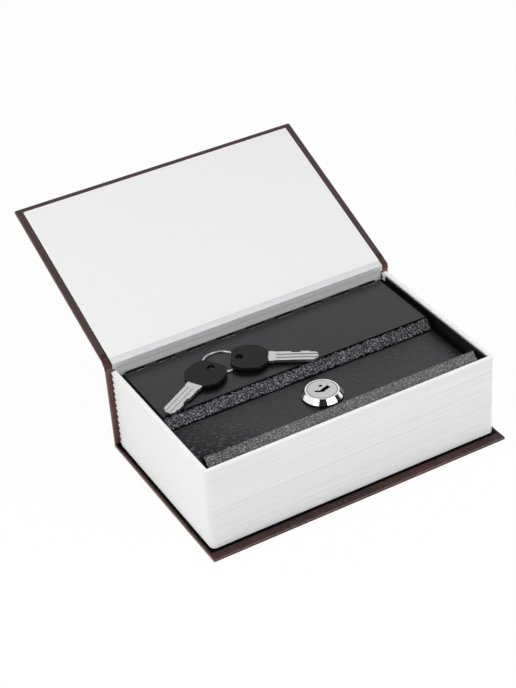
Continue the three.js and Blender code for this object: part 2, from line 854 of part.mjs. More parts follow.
function keyBlade() {
  const root = headLength + tangClearance;
  const tip = headLength + bladeLength;
  const wide = bladeHalfWidth;
  const outline = [
    [root, -wide - 0.5],
    [root + 3, -wide - 0.5],
    [root + 3, -wide],
    [tip - 2.5, -wide],
    [tip, -wide + 2.5],
    [tip, wide - 2.2],
    [tip - 1.4, wide - 0.8],
    [tip - 4, wide - 0.8],
    [tip - 5, wide],
    [tip - 9, wide],
    [tip - 10, wide - 1],
    [tip - 14, wide - 1],
    [tip - 15, wide],
    [root + 3, wide],
    [root + 3, wide + 0.5],
    [root, wide + 0.5],
  ];
  const half = bladeThickness / 2;
  const grooves = [-1, 1].flatMap((face) =>
    [-1.6, 1.2].map((y) => {
      const deep = face * (half - bladeGroove);
      const out = face * (half + 1);
      return box([root + 4, y - 0.5, Math.min(deep, out)], [tip + 1, y + 0.5, Math.max(deep, out)]);
    }),
  );
  const tang = box(
    [headLength - tangLength, -tangHalfWidth, -tangThickness / 2],
    [root + 1, tangHalfWidth, tangThickness / 2],
  );
  return alongZ(outline, -half, half).subtract(joined(grooves)).add(tang);
}

// The split ring lies flat and each key leans on it, its tip near the lid
function keySet() {
  const group = new THREE.Group();
  group.position.set(ringX, ringY, rearZoneTop);
  const ring = new THREE.Mesh(new THREE.TorusGeometry(ringRadius, ringWire, 8, 40), keyNickel);
  ring.name = "split_ring";
  ring.position.z = ringWire + ringSeat;
  group.add(ring);
  const eyeHeight = ringSeat + 2 * ringWire + keySeat + headThickness / 2;
  const tipHeight = keySeat + bladeThickness / 2;
  const span = headLength + bladeLength - eyeInset;
  const lean = Math.asin((eyeHeight - tipHeight) / span);
  keyAngles.forEach((angle, i) => {
    const bearing = new THREE.Group();
    bearing.rotation.z = THREE.MathUtils.degToRad(angle);
    const key = new THREE.Group();
    key.position.set(ringRadius - eyeInset, 0, eyeHeight + eyeInset * Math.sin(lean));
    key.rotation.y = lean;
    key.add(named(`key_${i + 1}_head`, keyHead(), keyPlastic));
    key.add(named(`key_${i + 1}_blade`, keyBlade(), keyNickel));
    bearing.add(key);
    group.add(bearing);
  });
  return group;
}

// The cover's group turns about the hinge line of the joint
function frontCover() {
  const group = new THREE.Group();
  group.position.set(0, hingeY, hingeZ);
  group.rotation.x = -openTurn;
  group.add(named("front_cloth", frontCloth(), leatherette));
  group.add(named("front_board", frontBoard(), greyBoard));
  group.add(named("front_endpaper", frontEndpaper(), whitePaper));
  return group;
}

function camLock() {
  const group = new THREE.Group();
  group.position.set(0, lockY, 0);
  group.add(named("lock_housing", lockHousing(), chromePlate));
  group.add(named("lock_washer", lockWasher(), zincSteel));
  group.add(named("lock_nut", lockNut(), zincSteel));
  group.add(named("lock_plug", lockPlug(), plugNickel));
  group.add(named("cam", cam(), zincSteel));
  group.add(named("cam_screw", camScrew(), zincSteel));
  for (let i = 0; i < waferCount; i += 1) {
    const plate = named(`wafer_${i + 1}`, wafer(), waferBrass);
    plate.position.z = waferLevel(i);
    const spring = named(`wafer_spring_${i + 1}`, waferSpring(), zincSteel);
    const springY = waferOffset + waferHalfWidth + lugReach / 2 + waferGap / 2;
    spring.position.set(lugX - springLength - waferGap, springY, waferLevel(i));
    group.add(plate, spring);
  }
  return group;
}

const safe = new THREE.Group();
safe.add(named("page_block", pageBlock(), pagePlastic));
safe.add(named("case_cloth", caseCloth(), leatherette));
safe.add(named("back_board", backBoard(), greyBoard));
safe.add(named("spine_board", spineBoard(), greyBoard));
safe.add(named("back_endpaper", backEndpaper(), whitePaper));
safe.add(named("spine_lining", spineLining(), whitePaper));
safe.add(named("joint_cloth", jointCloth(), leatherette));
safe.add(named("joint_lining", jointLining(), whitePaper));
safe.add(named("steel_tray", steelTray(), trayPaint));
safe.add(named("strike_angle", strikeAngle(), trayPaint));
safe.add(named("hinge_pin", hingePin(), zincSteel));
rivetPlaces().forEach(([x, y], i) => {
  const mesh = named(`tray_rivet_${i + 1}`, rivet(), zincSteel);
  mesh.position.set(x, y, trayFloor + traySheet);
  safe.add(mesh);
});
safe.add(named("lid_plate", lidPlate(), lidPaint));
safe.add(camLock());
safe.add(frontCover());
safe.add(keySet());

export default safe;
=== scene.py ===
"""Book diversion safe: hardback case, block of dummy pages, steel tray with lid and cam lock, and keys."""
import json
import math

import bmesh
import bpy
import numpy as np
from mathutils import Matrix, Vector

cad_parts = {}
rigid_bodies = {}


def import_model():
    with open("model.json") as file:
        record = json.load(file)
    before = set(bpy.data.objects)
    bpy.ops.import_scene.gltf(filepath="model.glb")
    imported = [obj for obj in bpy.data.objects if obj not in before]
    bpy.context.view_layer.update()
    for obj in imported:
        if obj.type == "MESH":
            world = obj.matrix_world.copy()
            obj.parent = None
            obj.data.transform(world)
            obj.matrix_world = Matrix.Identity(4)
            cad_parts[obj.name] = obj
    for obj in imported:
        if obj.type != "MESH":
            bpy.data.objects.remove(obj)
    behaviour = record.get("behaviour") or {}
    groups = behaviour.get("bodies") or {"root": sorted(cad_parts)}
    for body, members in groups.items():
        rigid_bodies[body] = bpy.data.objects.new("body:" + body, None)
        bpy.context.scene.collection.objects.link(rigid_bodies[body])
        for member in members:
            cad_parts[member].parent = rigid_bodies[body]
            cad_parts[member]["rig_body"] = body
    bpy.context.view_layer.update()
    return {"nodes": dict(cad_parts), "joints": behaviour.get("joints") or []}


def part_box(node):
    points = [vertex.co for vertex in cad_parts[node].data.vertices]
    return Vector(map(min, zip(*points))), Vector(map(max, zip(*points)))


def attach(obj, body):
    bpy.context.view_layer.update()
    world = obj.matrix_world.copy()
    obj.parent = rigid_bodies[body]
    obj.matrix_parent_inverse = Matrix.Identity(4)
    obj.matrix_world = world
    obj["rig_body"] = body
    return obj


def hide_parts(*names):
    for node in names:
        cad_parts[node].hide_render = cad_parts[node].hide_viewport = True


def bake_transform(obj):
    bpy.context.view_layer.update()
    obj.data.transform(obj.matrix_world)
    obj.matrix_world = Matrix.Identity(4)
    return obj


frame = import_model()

MM = 0.001
SCENE = bpy.context.scene

# Places read from the frame, in metres
BLOCK_LOW, BLOCK_HIGH = (np.array(corner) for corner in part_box("page_block"))
CASE_LOW, CASE_HIGH = (np.array(corner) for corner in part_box("case_cloth"))
LID_HIGH = np.array(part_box("lid_plate")[1])
LOCK_LOW, LOCK_HIGH = (np.array(corner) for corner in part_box("lock_housing"))
PLUG_TOP = float(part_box("lock_plug")[1][2])
WAFERS_HIGH, WAFERS_LOW = float(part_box("wafer_1")[1][2]), float(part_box("wafer_4")[0][2])
RING_LOW, RING_HIGH = (np.array(corner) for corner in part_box("split_ring"))
LINING_LOW, LINING_HIGH = (np.array(corner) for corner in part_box("spine_lining"))
JOINTS = {joint["name"]: joint for joint in frame["joints"]}
HINGE = np.array(JOINTS["cover_hinge"]["pos_m"])
OPEN_TURN = -math.radians(JOINTS["cover_hinge"]["range_deg"][0])
LOCK_AXIS = np.array(JOINTS["lock_turn"]["pos_m"])

# Meshes, in metres and degrees
SAME_POINT = 1e-7
CAD_WELD = 2e-6
FLAT_ANGLE = 0.3
OUTLINE_SPACING = 6 * MM
JOINT_SPACING = 0.25 * MM

# Case: thicknesses, margins and edges, in metres
BOARD = BLOCK_LOW[2]
CLOTH = 0.3 * MM
PAPER = 0.2 * MM
GLUE = 0.1 * MM
CASE_BOARD = BOARD - PAPER - GLUE
FORE_MARGIN = 3 * MM
END_MARGIN = 4.2 * MM
BOARD_EDGE = 0.6 * MM
BOARD_CORNER = 0.9 * MM
JOINT_START = 2.5 * MM
CREASE_DEPTH = 0.3 * MM
RAMP_LENGTH = 0.5 * MM
LINING_GAP = 0.05 * MM

# Leatherette: the painted contact shadow along the foot of the pages, the joint's fold, the painted sheen and
# the painted highlight along the edges. The highlight's middle is in board edges, and shares have no unit.
ABOVE_BACK = 1.5 * BOARD
CONTACT_SHADOW_WIDTH = 1.3 * MM
JOINT_RISE = 2.7 * MM
JOINT_SHEEN_CUT = 0.7
PAINTED_SHEEN_SHARE = 0.85
HIGHLIGHT_MIDDLE = 0.45
HIGHLIGHT_NARROWNESS = 8
CLOTH_SHINE = 0.25
CONTACT_SHADOW_DULLING = 0.22

# Pages: walls, foot and rim, in metres, but for the paleness that makes up for the shade at the foot
PAGE_WALL = 2.4 * MM
PAGE_FLOOR = 1.0 * MM
PAGE_CORNER = 3 * MM
WALL_CORNER = 0.5 * MM
REAR_TOLERANCE = 1e-6
FOOT_STEP = 0.35 * MM
FOOT_HEIGHT = 0.35 * MM
FOOT_SHADE = 14 * MM
FOOT_PALENESS = 2.5
PLAIN_RIM = 3.2 * MM
RIM_EDGE = 0.4 * MM
LEVEL_STEP = 0.1 * MM

# Pages: ridges, teeth and raised lines. Waves are in radians to a metre, wavers in pitches or metres.
RIDGE_COUNT = 13
RIDGE_DEPTH = 0.05 * MM
RIDGE_WAVER = 0.05
RIDGE_WAVE = 47
TOOTH_DEPTH = 2.3 * MM
TOOTH_SHARE = 0.93
NICK_SHARE = 0.07
NICKS = 3
LINE_COUNT = 40
LINE_HEIGHT = 0.07 * MM
LINE_WIDTH = 0.1 * MM
LINE_WAVER = 0.45 * MM
LINE_WAVE = 38
LINE_SIZES = (0.35, 1)
LINE_TURNS = (0, 6.3)
LINE_SEED = 7
SWELL = 0.4
SWELL_WAVE = 71
SIDE_LINES = 0.2
RIM_FADE = 0.4

# Lid: places across (y) and along (x) it, and reaches from them, in metres
STEP_MIDDLE = -0.15 * MM
GRAIN_REACH = 2.25 * MM
BEND_REACH = 3.7 * MM
LIP_EDGE = -41.3 * MM
LID_RIM = 2.0 * MM
DEEP_END, SHALLOW_END = -68 * MM, -22 * MM
LIT_END, DIM_END = -70 * MM, 60 * MM
HINGE_START = -79.25 * MM
KNUCKLE_PITCH = 18.5 * MM
KNUCKLE_WIDTH = 10.5 * MM
NOTCH_EDGE = 48.95 * MM
NOTCH_REACH = 0.3 * MM

# Lid: the grain's cells and their angle, its wander in metres, and the slant of the line where it fades
SLOPE_GRAIN = (2.2 * MM, 0.95 * MM, 0.95 * MM)
VALLEY_GRAIN = (4.4 * MM, 2.3 * MM, 2.3 * MM)
GRAIN_ANGLE = math.radians(-30)
GRAIN_WANDER = 3 * MM
FADE_SLANT = 1.1

# Lid: shares of the bright colour that paints the highlights, depths of the creases, their widths in cells,
# and both paints' shine
STEP_GAINS, STEP_BASE = (0.45, 0.29), 0.06
LIP_GAIN, LIP_BASE = 0.27, 0.3
VALLEY_GAIN = 0.1
VALLEY_DEPTHS = (1.0, 0.12)
LIP_DEPTH = 0.6
CREASE_START = 0.05
CREASE_ENDS = (0.3, 0.2)
PAINT_SHINE = 0.5
CREASE_DULLING = 0.45
KNUCKLE_SHINE = 0.1

# Lock and keys, in metres. The ring's wire is in shares of its thickness, and the gap in radians.
BORE_RADIUS = 8.25 * MM
CHANNEL_RADIUS = 8.75 * MM
CHANNEL_GAP = 0.3 * MM
BARREL_RADIUS = 9.3 * MM
CROWN_RADIUS = 9.1 * MM
CROWN_RISE = 0.03 * MM
CONE_HEIGHT = 2.8 * MM
CONE_OVERHANG = 0.9 * MM
KEYWAY_LIGHT = 0.22 * MM
FACE_RADIUS = 7.88 * MM
WIRE_ACROSS, WIRE_UP = 0.95, 0.46
WIRE_CLIMB = 0.5
WIRE_GAP = 0.15
RING_STEPS, WIRE_SIDES = 160, 12

# Stage and light, in metres, but for the share of the floor's white that is its own
HALF_FLOOR = 4.0
FLOOR_GAP = 0.2 * MM
FLOOR_GLOW = 0.95
LAMP_AIM = (0, 0, 0.04)

# Camera, fitted to the photograph of 516 by 688 pixels
PHOTO_SIZE = (516, 688)
CAMERA_PLACE = (-0.36786, -0.66536, 0.58380)
CAMERA_RIGHT = (0.866315, -0.495565, -0.062553)
CAMERA_DOWN = (-0.324654, -0.463467, -0.824499)
CAMERA_FORWARD = (0.379602, 0.734584, -0.562396)
FOCAL_PIXELS = 1746.71
CENTRE_PIXEL = (259.62, 343.29)
SENSOR = 36.0


# Nodes


def linear(code):
    """The linear colour of an sRGB hex value."""
    channels = [int(code[i : i + 2], 16) / 255 for i in (1, 3, 5)]
    return [c / 12.92 if c <= 0.04045 else ((c + 0.055) / 1.055) ** 2.4 for c in channels] + [1.0]


def node(owner, kind, inputs=None, **settings):
    """Adds a node to a material or world. The inputs map a socket's name or number to a value or to another
    node's socket."""
    tree = owner.node_tree
    made = tree.nodes.new(kind)
    for name, value in settings.items():
        setattr(made, name, value)
    for key, value in (inputs or {}).items():
        if isinstance(value, bpy.types.NodeSocket):
            tree.links.new(value, made.inputs[key])
        else:
            made.inputs[key].default_value = value
    return made


def maths(owner, operation, *values):
    """The result of a Math node. Each value is a number or a socket, here and in the helpers below."""
    return node(owner, "ShaderNodeMath", dict(enumerate(values)), operation=operation).outputs[0]


def vectors(owner, operation, inputs):
    """The outputs of a Vector Math node."""
    return node(owner, "ShaderNodeVectorMath", inputs, operation=operation).outputs


def ranged(owner, value, source, target=(0.0, 1.0), smooth=False):
    """A value mapped from the source range to the target range, and held at its ends."""
    names = ("Value", "From Min", "From Max", "To Min", "To Max")
    inputs = dict(zip(names, (value, *source, *target)))
    kind = "SMOOTHSTEP" if smooth else "LINEAR"
    return node(owner, "ShaderNodeMapRange", inputs, interpolation_type=kind).outputs[0]


def blended(owner, share, first, second, **settings):
    """A colour between two, each a hex value or a socket."""
    first, second = (linear(end) if isinstance(end, str) else end for end in (first, second))
    inputs = {"Factor": share, 6: first, 7: second}
    return node(owner, "ShaderNodeMix", inputs, data_type="RGBA", **settings).outputs[2]


def noise(owner, place, scale, detail, output="Fac"):
    """A noise texture, whose patches are about 1 / scale metres wide."""
    inputs = {"Vector": place, "Scale": scale, "Detail": detail}
    return node(owner, "ShaderNodeTexNoise", inputs).outputs[output]


def coordinate(owner, name):
    """A texture coordinate of the piece, such as Object, its place, or Normal, the way its surface faces."""
    return node(owner, "ShaderNodeTexCoord").outputs[name]


def split(owner, vector):
    """The X, Y and Z of a vector."""
    return list(node(owner, "ShaderNodeSeparateXYZ", {"Vector": vector}).outputs)


def surface(name, **sockets):
    """A material with one Principled shader, whose constants are set on its own sockets."""
    material = bpy.data.materials.new(name)
    material.use_nodes = True
    shader = material.node_tree.nodes["Principled BSDF"]
    for key, value in sockets.items():
        shader.inputs[key.replace("_", " ")].default_value = value
    return material, shader


def connect(owner, output, shader, socket):
    """Links an output to a socket of a shader, a background or the material's output."""
    owner.node_tree.links.new(output, shader.inputs[socket])


def emboss(material, shader, height, strength, distance, **settings):
    """Gives the shader a relief of that height and depth, in metres."""
    inputs = {"Height": height, "Strength": strength, "Distance": distance}
    connect(material, node(material, "ShaderNodeBump", inputs, **settings).outputs[0], shader, "Normal")


# Materials


def embossed_leatherette():
    """PVC-coated book cloth, embossed: a fine pebbled grain, a brown with burgundy clouds and short red
    flecks. A painted sheen makes it paler and redder on the boards' end faces and on the forward-facing faces
    of the spine and the cover, less so at the joint. A painted highlight runs along the rounded edges, broken
    up by the flecks, and a painted black contact shadow, less shiny, lies along the foot of the pages."""
    material, shader = surface("embossed_leatherette", Roughness=0.34, Specular_IOR_Level=CLOTH_SHINE)
    place = coordinate(material, "Object")
    x, y, z = split(material, place)
    facing_x, facing_y, _ = split(material, coordinate(material, "Normal"))

    clouds = ranged(material, noise(material, place, scale=42, detail=3), (0.42, 0.66))
    fleck = noise(material, place, scale=520, detail=2)
    flecks = ranged(material, fleck, (0.5, 0.72), (0.0, 0.75))
    brown = blended(material, clouds, "#1f1312", "#391c1b")
    mottled = blended(material, flecks, brown, "#59302a")

    # Painted sheen: a paler, redder colour on forward-facing faces above the back board, less at the joint,
    # and on the boards' end faces
    raised = maths(material, "GREATER_THAN", z, ABOVE_BACK)
    joint = maths(material, "COMPARE", z, HINGE[2] + JOINT_RISE / 2, JOINT_RISE)
    sheen_cut_at_joint = maths(material, "MULTIPLY", joint, JOINT_SHEEN_CUT)
    counted = maths(material, "SUBTRACT", raised, sheen_cut_at_joint)
    forward = ranged(material, facing_y, (-0.25, -0.37), (0.0, PAINTED_SHEEN_SHARE))
    inside = maths(material, "MULTIPLY", forward, counted)
    on_spine = maths(material, "LESS_THAN", z, HINGE[2] + JOINT_RISE)
    over_end = ranged(material, maths(material, "ABSOLUTE", facing_x), (0.4, 0.7), (0.0, PAINTED_SHEEN_SHARE))
    painted_sheen = maths(material, "MAXIMUM", inside, over_end)
    redder = maths(material, "MAXIMUM", on_spine, over_end)
    pale = blended(material, redder, "#4e4041", "#74504b")
    with_painted_sheen = blended(material, painted_sheen, mottled, pale)

    # Painted highlight: a lighter colour along the rounded edges, from the edge attribute, broken up by the
    # flecks
    edge = node(material, "ShaderNodeAttribute", attribute_name="edge").outputs["Fac"]
    edge_highlight = maths(material, "MULTIPLY", edge, fleck)
    with_edge_highlight = blended(material, edge_highlight, with_painted_sheen, "#8c7873")

    # Painted contact shadow: near-black and less shiny in a strip along the foot of the pages
    beside = maths(material, "SUBTRACT", maths(material, "ABSOLUTE", x), float(BLOCK_HIGH[0]))
    before = maths(material, "SUBTRACT", float(BLOCK_LOW[1]), y)
    off = maths(material, "MAXIMUM", beside, before)
    near = maths(material, "LESS_THAN", off, CONTACT_SHADOW_WIDTH)
    flat = maths(material, "SUBTRACT", 1.0, raised)
    painted_contact_shadow = maths(material, "MULTIPLY", near, flat)
    connect(material, blended(material, painted_contact_shadow, with_edge_highlight, "#050404"), shader, "Base Color")
    shine = maths(material, "MULTIPLY_ADD", painted_contact_shadow, -CONTACT_SHADOW_DULLING, CLOTH_SHINE)
    connect(material, shine, shader, "Specular IOR Level")

    pebble = node(material, "ShaderNodeTexVoronoi", {"Vector": place, "Scale": 1500}, feature="SMOOTH_F1")
    emboss(material, shader, pebble.outputs["Distance"], strength=0.6, distance=0.15 * MM, invert=True)
    return material


def coated_endpaper(name, code):
    """Smooth coated paper over board: nearly flat white, with a faint unevenness from the glue below."""
    material, shader = surface(name, Base_Color=linear(code), Roughness=0.55)
    place = coordinate(material, "Object")
    glue = noise(material, place, scale=90, detail=3)
    fibre = noise(material, place, scale=2600, detail=2)
    emboss(material, shader, maths(material, "ADD", glue, fibre), strength=0.25, distance=0.04 * MM)
    return material


def moulded_pages():
    """Moulded off-white plastic that imitates cut pages: faint streaks run round the block, fainter on its end
    walls. Painted light makes the front paler towards its foot, against the shade there, and the foot itself
    is painted near-black as a shadow line under the block."""
    material, shader = surface("moulded_pages", Roughness=0.55)
    place = coordinate(material, "Object")
    height = split(material, place)[2]
    along = node(material, "ShaderNodeMapping", {"Vector": place, "Scale": (9, 9, 1300)}).outputs[0]
    streak = noise(material, along, scale=1, detail=3)
    spread = ranged(material, streak, (0.36, 0.64))
    forward = split(material, coordinate(material, "Normal"))[1]
    share = ranged(material, forward, (-0.9, -0.4), (1.0, SIDE_LINES))
    lines = node(material, "ShaderNodeMix", {"Factor": share, 2: 0.6, 3: spread}).outputs[0]
    # Painted light: the front grows paler towards its foot, making up for the shade there
    low = ranged(material, height, (BOARD, BOARD + FOOT_SHADE), (FOOT_PALENESS, 0.0), smooth=True)
    pale = maths(material, "MULTIPLY_ADD", low, share, lines)
    pages = blended(material, pale, "#e8e8e7", "#f0f0f0", clamp_factor=False)
    # Painted shadow: the foot is near-black, a shadow line under the block
    foot = maths(material, "LESS_THAN", height, float(BOARD + FOOT_HEIGHT))
    connect(material, blended(material, foot, pages, "#141110"), shader, "Base Color")
    emboss(material, shader, streak, strength=maths(material, "MULTIPLY", share, 0.5), distance=0.1 * MM)
    return material


def leather_grain_paint():
    """Powder coat with a leather grain: pebbles between creases, deepest on the two slopes and at the left
    end. The creases reflect less, a painted shade. Painted highlights in a bright colour brighten the pebbles'
    crests on the step, falling off along it, the whole lip with its crests most, and faintly the valley's
    crests. The step's bends and the lid's ends are drawn smooth and get neither highlight nor shine, a painted
    shade for the dark lines there, and dashes of painted highlight stand for the lit edges where the lid is
    notched for the hinge."""
    material, shader = surface("leather_grain_paint", Roughness=0.33, Specular_Tint=(0.92, 0.97, 1.0, 1.0))
    place = coordinate(material, "Object")
    x, y, _ = split(material, place)

    # Zones: the ragged step, the smooth bends beside it, the finger lip, the valley in front, the ends
    wander = noise(material, place, scale=480, detail=1, output="Color")
    centred = vectors(material, "SUBTRACT", {0: wander, 1: (0.5, 0.5, 0.5)})[0]
    shift = vectors(material, "SCALE", {0: centred, "Scale": GRAIN_WANDER})[0]
    warped = vectors(material, "ADD", {0: place, 1: shift})[0]
    step = maths(material, "COMPARE", split(material, warped)[1], STEP_MIDDLE, GRAIN_REACH)
    lip = maths(material, "LESS_THAN", y, LIP_EDGE)
    slope = maths(material, "MAXIMUM", step, lip)
    valley = maths(material, "LESS_THAN", y, STEP_MIDDLE)
    step_and_bends = maths(material, "COMPARE", y, STEP_MIDDLE, BEND_REACH)
    bends = maths(material, "SUBTRACT", step_and_bends, step)
    ends = maths(material, "GREATER_THAN", maths(material, "ABSOLUTE", x), float(LID_HIGH[0] - LID_RIM))
    # Painted shade: the bends and the lid's ends lose the bright colour and the shine, and show as dark lines
    clear = maths(material, "SUBTRACT", 1.0, maths(material, "MAXIMUM", bends, ends))

    # The pebbles, and how deep they are in the valley
    inputs = {"Factor": slope, 4: VALLEY_GRAIN, 5: SLOPE_GRAIN}
    size = node(material, "ShaderNodeMix", inputs, data_type="VECTOR").outputs[1]
    inputs = {"Vector": warped, "Rotation": (0, 0, GRAIN_ANGLE), "Scale": size}
    stretched = node(material, "ShaderNodeMapping", inputs, vector_type="TEXTURE").outputs[0]
    inputs = {"Vector": stretched, "Scale": 1}
    cells = node(material, "ShaderNodeTexVoronoi", inputs, feature="DISTANCE_TO_EDGE").outputs["Distance"]
    crease_end = ranged(material, slope, (0.0, 1.0), CREASE_ENDS)
    pebble = ranged(material, cells, (CREASE_START, crease_end), smooth=True)
    slant = maths(material, "SUBTRACT", y, LIP_EDGE)
    from_corner = maths(material, "MULTIPLY_ADD", slant, FADE_SLANT, x)
    depth = ranged(material, from_corner, (DEEP_END, SHALLOW_END), VALLEY_DEPTHS)
    lower = maths(material, "MULTIPLY", depth, valley)
    ripple = maths(material, "MULTIPLY", lower, pebble)

    # The share of the bright colour, which paints highlights: on the step's crests, where it falls off along
    # it, on the lip and on the valley's crests
    uneven = ranged(material, noise(material, place, scale=650, detail=1), (0.35, 0.62), (0.6, 1.0))
    crest = maths(material, "MULTIPLY", pebble, uneven)
    gain = ranged(material, x, (LIT_END, DIM_END), STEP_GAINS)
    on_step = maths(material, "MULTIPLY_ADD", crest, gain, STEP_BASE)
    unpitted = ranged(material, noise(material, place, scale=1300, detail=1), (0.36, 0.46), (0.3, 1.0))
    lip_crest = maths(material, "MULTIPLY_ADD", pebble, LIP_GAIN, LIP_BASE)
    on_lip = maths(material, "MULTIPLY", lip_crest, unpitted)
    low_lit = maths(material, "MULTIPLY", ripple, VALLEY_GAIN)
    step_lit = maths(material, "MULTIPLY_ADD", on_step, step, low_lit)
    lit = maths(material, "MULTIPLY_ADD", on_lip, lip, step_lit)
    share = maths(material, "MULTIPLY", lit, clear)
    bright = blended(material, lip, "#a0a2ab", "#a3a3a2")
    painted = blended(material, share, "#0d0d0f", bright)

    # The dashes of painted highlight along the notches' edges, counted from eight pitches before the first
    # knuckle so that none is negative
    from_start = maths(material, "SUBTRACT", x, HINGE_START - 8 * KNUCKLE_PITCH)
    in_pitch = maths(material, "MODULO", from_start, KNUCKLE_PITCH)
    notch = maths(material, "LESS_THAN", in_pitch, KNUCKLE_WIDTH)
    edge = maths(material, "COMPARE", y, NOTCH_EDGE, NOTCH_REACH)
    patchy = maths(material, "GREATER_THAN", noise(material, place, scale=900, detail=1), 0.49)
    dashes = maths(material, "MULTIPLY", notch, edge)
    painted_notch_highlight = maths(material, "MULTIPLY", dashes, patchy)
    connect(material, blended(material, painted_notch_highlight, painted, "#737579"), shader, "Base Color")

    # The creases' dullness, a painted shade, and their relief; the bends and ends get no shine, a painted
    # shade too
    sloped = maths(material, "MULTIPLY_ADD", lip, LIP_DEPTH, step)
    deep = maths(material, "MAXIMUM", lower, sloped)
    crease = maths(material, "SUBTRACT", 1.0, pebble)
    dull = maths(material, "MULTIPLY", crease, deep)
    gloss = maths(material, "MULTIPLY_ADD", dull, -CREASE_DULLING, PAINT_SHINE)
    connect(material, maths(material, "MULTIPLY", gloss, clear), shader, "Specular IOR Level")
    relief = maths(material, "MULTIPLY_ADD", pebble, valley, pebble)
    emboss(material, shader, relief, strength=deep, distance=0.2 * MM)
    return material


def black_powder_coat():
    """Semi-gloss black powder coat on the tray, with its slight orange peel. The knuckles get less shine, a
    painted shade for the dark slots in the lid's notches that they sit in.
    """
    material, shader = surface("black_powder_coat", Base_Color=linear("#0c0c0d"), Roughness=0.35)
    place = coordinate(material, "Object")
    # Painted shade: less shine at the hinge's knuckles, behind the notch edge
    glossy = maths(material, "LESS_THAN", split(material, place)[1], NOTCH_EDGE)
    shine = maths(material, "MULTIPLY_ADD", glossy, PAINT_SHINE - KNUCKLE_SHINE, KNUCKLE_SHINE)
    connect(material, shine, shader, "Specular IOR Level")
    peel = noise(material, place, scale=900, detail=1)
    emboss(material, shader, peel, strength=0.3, distance=0.06 * MM)
    return material


def plated_metal(name, code, roughness, grain, depth):
    """Plated metal: a grain of fine pits or scratches, 1 / grain metres wide, breaks up its reflections."""
    material, shader = surface(name, Base_Color=linear(code), Metallic=1.0)
    pits = noise(material, coordinate(material, "Object"), scale=grain, detail=2)
    rough = ranged(material, pits, (0.0, 1.0), (roughness * 0.7, roughness * 1.4))
    connect(material, rough, shader, "Roughness")
    emboss(material, shader, pits, strength=0.3, distance=depth)
    return material


def plug_face_with_painted_shade(name, code, roughness, grain, depth):
    """Bead-blasted nickel as plated metal, painted black as shade below the face, in the keyway, and in a ring
    at the face's edge that stands for the shadowed gap round the plug.
    """
    material = plated_metal(name, code, roughness, grain, depth)
    shader = material.node_tree.nodes["Principled BSDF"]
    place = coordinate(material, "Object")
    hollow = maths(material, "LESS_THAN", split(material, place)[2], PLUG_TOP - KEYWAY_LIGHT)
    middle = (float(LOCK_AXIS[0]), float(LOCK_AXIS[1]), PLUG_TOP)
    centred = vectors(material, "SUBTRACT", {0: place, 1: middle})[0]
    away = vectors(material, "LENGTH", {0: centred})["Value"]
    shadow_ring = maths(material, "GREATER_THAN", away, FACE_RADIUS)
    # Painted shade: black below the face and in the ring at its edge
    painted_shade = maths(material, "MAXIMUM", hollow, shadow_ring)
    connect(material, blended(material, painted_shade, code, "#0a0a0a"), shader, "Base Color")
    return material


def moulded_key_plastic():
    """Black moulded ABS with a light spark-eroded texture."""
    finish = {"Base_Color": linear("#08080a"), "Roughness": 0.62, "Specular_IOR_Level": 0.3}
    material, shader = surface("moulded_key_plastic", **finish)
    spark = noise(material, coordinate(material, "Object"), scale=3500, detail=1)
    emboss(material, shader, spark, strength=0.3, distance=0.05 * MM)
    return material


LEATHERETTE = embossed_leatherette()
ENDPAPER = coated_endpaper("coated_endpaper", "#f0f0f0")
LINING = coated_endpaper("coated_lining_paper", "#dddddf")
PAGES = moulded_pages()
LID_PAINT = leather_grain_paint()
TRAY_PAINT = black_powder_coat()
CHROME = plated_metal("polished_chrome_plate", "#eceef0", 0.04, 700, 0.002 * MM)
NICKEL = plated_metal("satin_nickel_plate", "#cfd0d1", 0.3, 2500, 0.03 * MM)
PLUG_FACE = plug_face_with_painted_shade("bead_blasted_nickel", "#d6d6d5", 0.42, 2100, 0.1 * MM)
ZINC = plated_metal("zinc_plated_steel", "#b9bec4", 0.35, 1200, 0.02 * MM)
# The brass is painted dark, as shade for the wafers deep inside the keyway
BRASS = plated_metal("oiled_brass", "#3d3118", 0.4, 1500, 0.02 * MM)
KEY_PLASTIC = moulded_key_plastic()


# Outlines and meshes


def rounded_outline(corners, radii, steps=6):
    """A closed outline, counter-clockwise, and its outward normals. Each corner is an arc of its radius
    between the tangent points of its two sides."""
    corners = np.asarray(corners, float)
    points, normals = [], []
    for i, radius in enumerate(np.broadcast_to(radii, len(corners))):
        before = corners[i] - corners[i - 1]
        after = corners[(i + 1) % len(corners)] - corners[i]
        before, after = before / np.linalg.norm(before), after / np.linalg.norm(after)
        turn = math.atan2(before[0] * after[1] - before[1] * after[0], before @ after)
        reach = radius * math.tan(abs(turn) / 2)
        out = np.array([before[1], -before[0]])
        centre = corners[i] - before * reach - out * radius * np.sign(turn)
        angle = turn * np.arange(steps + 1) / steps
        cos, sin = np.cos(angle), np.sin(angle)
        spun = np.column_stack([out[0] * cos - out[1] * sin, out[0] * sin + out[1] * cos])
        points.append(centre + spun * radius * np.sign(turn))
        normals.append(spun)
    return np.concatenate(points), np.concatenate(normals)


def refined(points, normals, spacing):
    """The same closed outline with points added along its sides, so that none is farther than the spacing
    from the next."""
    following = np.roll(points, -1, axis=0)
    counts = np.maximum(1, np.ceil(np.linalg.norm(following - points, axis=1) / spacing).astype(int))
    index = np.repeat(np.arange(len(points)), counts)
    share = np.concatenate([np.arange(n) / n for n in counts])[:, None]
    after = (index + 1) % len(points)
    new_points = points[index] * (1 - share) + points[after] * share
    between = normals[index] * (1 - share) + normals[after] * share
    new_normals = np.where(share > 0, between, normals[index])
    return new_points, new_normals / np.linalg.norm(new_normals, axis=1)[:, None]


